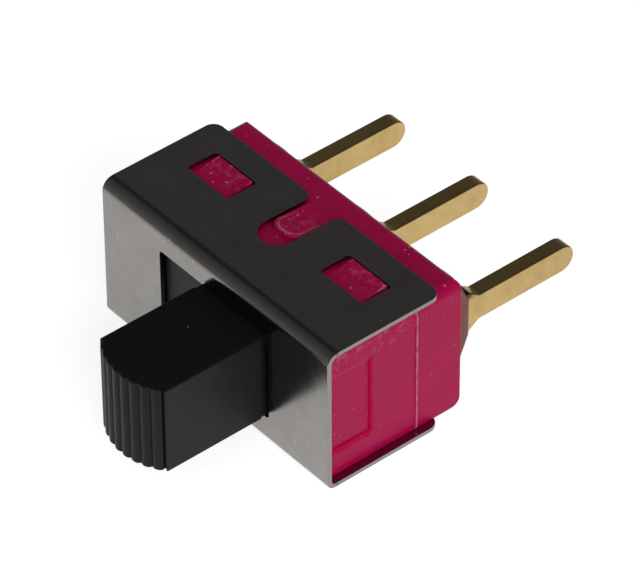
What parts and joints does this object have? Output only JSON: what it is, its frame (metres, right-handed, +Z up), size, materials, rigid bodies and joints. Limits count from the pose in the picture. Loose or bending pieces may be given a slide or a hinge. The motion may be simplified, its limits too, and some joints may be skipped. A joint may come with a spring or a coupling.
{
  "type": "miniature slide switch",
  "caption": "Miniature slide switch with a ribbed slider in a folded steel frame, a moulded case and flat board terminals; the slider tips a rocker contact.",
  "frame": {"origin": "where the middle terminal leaves the flat back of the case, on the terminal's own axis", "axes": "+X along the slider's travel towards the end it stands at, +Y out along the terminals, +Z up through the flanges of the steel frame; the switch lies on its lower flange"},
  "size_m": [0.0126, 0.018, 0.0064],
  "materials": {
    "stainless_sheet": "bright rolled stainless sheet",
    "crimson_moulding": "satin thermoset moulding",
    "black_moulding": "satin nylon",
    "natural_moulding": "natural acetal",
    "spring_wire": "drawn wire",
    "gold_plate": "gold flash over stamped copper alloy",
    "contact_button": "gold plated silver",
    "epoxy": "cured translucent epoxy"
  },
  "bodies": {
    "housing": {"frame": "stainless_sheet", "case": "crimson_moulding", "left_terminal": "gold_plate", "centre_terminal": "gold_plate", "right_terminal": "gold_plate", "left_contact": "contact_button", "right_contact": "contact_button", "terminal_seal": "epoxy"},
    "slider": {"slider": "black_moulding", "plunger_spring": "spring_wire"},
    "plunger": {"plunger": "natural_moulding"},
    "rocker": {"rocker_contact": "gold_plate"}
  },
  "joints": [
    {"name": "slider_slide", "type": "slide", "parent": "housing", "child": "slider", "axis": [1, 0, 0], "range_m": [-0.0022, 0]},
    {"name": "plunger_slide", "type": "slide", "parent": "slider", "child": "plunger", "axis": [0, 1, 0], "range_m": [-0.0003, 0], "stiffness_N_per_m": 100, "springref_m": 0.001, "deforming": ["plunger_spring"]},
    {"name": "rocker_tilt", "type": "hinge", "parent": "housing", "child": "rocker", "pos_m": [0, -0.00205, 0], "axis": [0, 0, 1], "range_deg": [-10, 0]}
  ],
  "couplings": [
    {"joint": "rocker_tilt", "follows": "slider_slide", "rad_per_m": 79.33}
  ]
}
